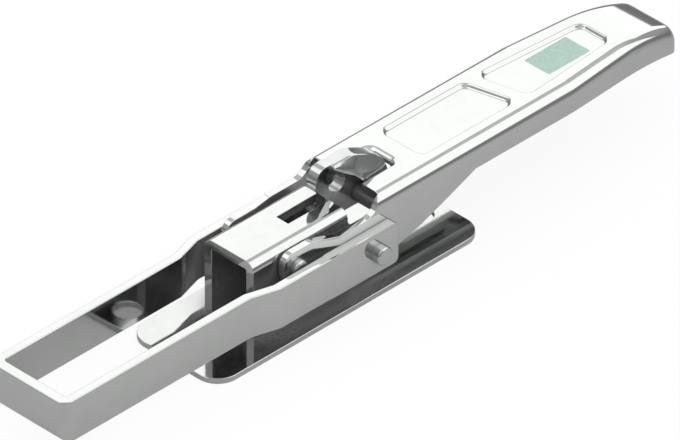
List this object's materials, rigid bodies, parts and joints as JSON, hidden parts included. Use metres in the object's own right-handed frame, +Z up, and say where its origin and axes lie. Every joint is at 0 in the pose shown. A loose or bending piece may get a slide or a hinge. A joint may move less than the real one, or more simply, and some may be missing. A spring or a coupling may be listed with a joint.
{
  "type": "over centre toggle latch",
  "caption": "Heavy sheet-steel toggle latch: base plate with a channel, a hand lever that swings over centre, a long pull loop and a sprung safety catch with a padlock eye.",
  "frame": {"origin": "centre of the base plate's underside, midway between its two fixing holes", "axes": "+X from the pull loop to the tip of the lever, +Y across the latch, +Z up from the base plate"},
  "size_m": [0.3413, 0.0578, 0.0528],
  "materials": {
    "plate_zinc": "bright zinc plate with light wear",
    "channel_zinc": "bright zinc plate",
    "lever_zinc": "bright zinc plate on pressed sheet",
    "loop_zinc": "bright zinc plate on flat bar",
    "pin_steel": "turned and plated",
    "catch_steel": "plated, in shade",
    "spring_steel": "drawn wire"
  },
  "bodies": {
    "base": {"base_plate": "plate_zinc", "body_channel": "channel_zinc", "pivot_pin": "pin_steel", "keeper_pin": "pin_steel"},
    "lever": {"lever": "lever_zinc", "catch_pin": "pin_steel", "catch_spacer_near": "pin_steel", "catch_spacer_far": "pin_steel", "catch_spring": "spring_steel"},
    "loop": {"pull_loop": "loop_zinc", "loop_pin": "pin_steel"},
    "catch": {"safety_catch": "catch_steel"}
  },
  "joints": [
    {"name": "lever_swing", "type": "hinge", "parent": "base", "child": "lever", "pos_m": [-0.0221, 0, 0.0283], "axis": [0, -1, 0], "range_deg": [0, 115]},
    {"name": "loop_level", "type": "hinge", "parent": "lever", "child": "loop", "pos_m": [0.0144, 0, 0.0208], "axis": [0, -1, 0], "range_deg": [-115, 0]},
    {"name": "catch_press", "type": "hinge", "parent": "lever", "child": "catch", "pos_m": [0.026, 0, 0.033], "axis": [0, -1, 0], "range_deg": [0, 10], "stiffness_Nm_per_rad": 0.3, "springref_deg": -17.19, "deforming": ["catch_spring"]}
  ],
  "couplings": [
    {"joint": "loop_level", "follows": "lever_swing", "ratio": -1}
  ]
}
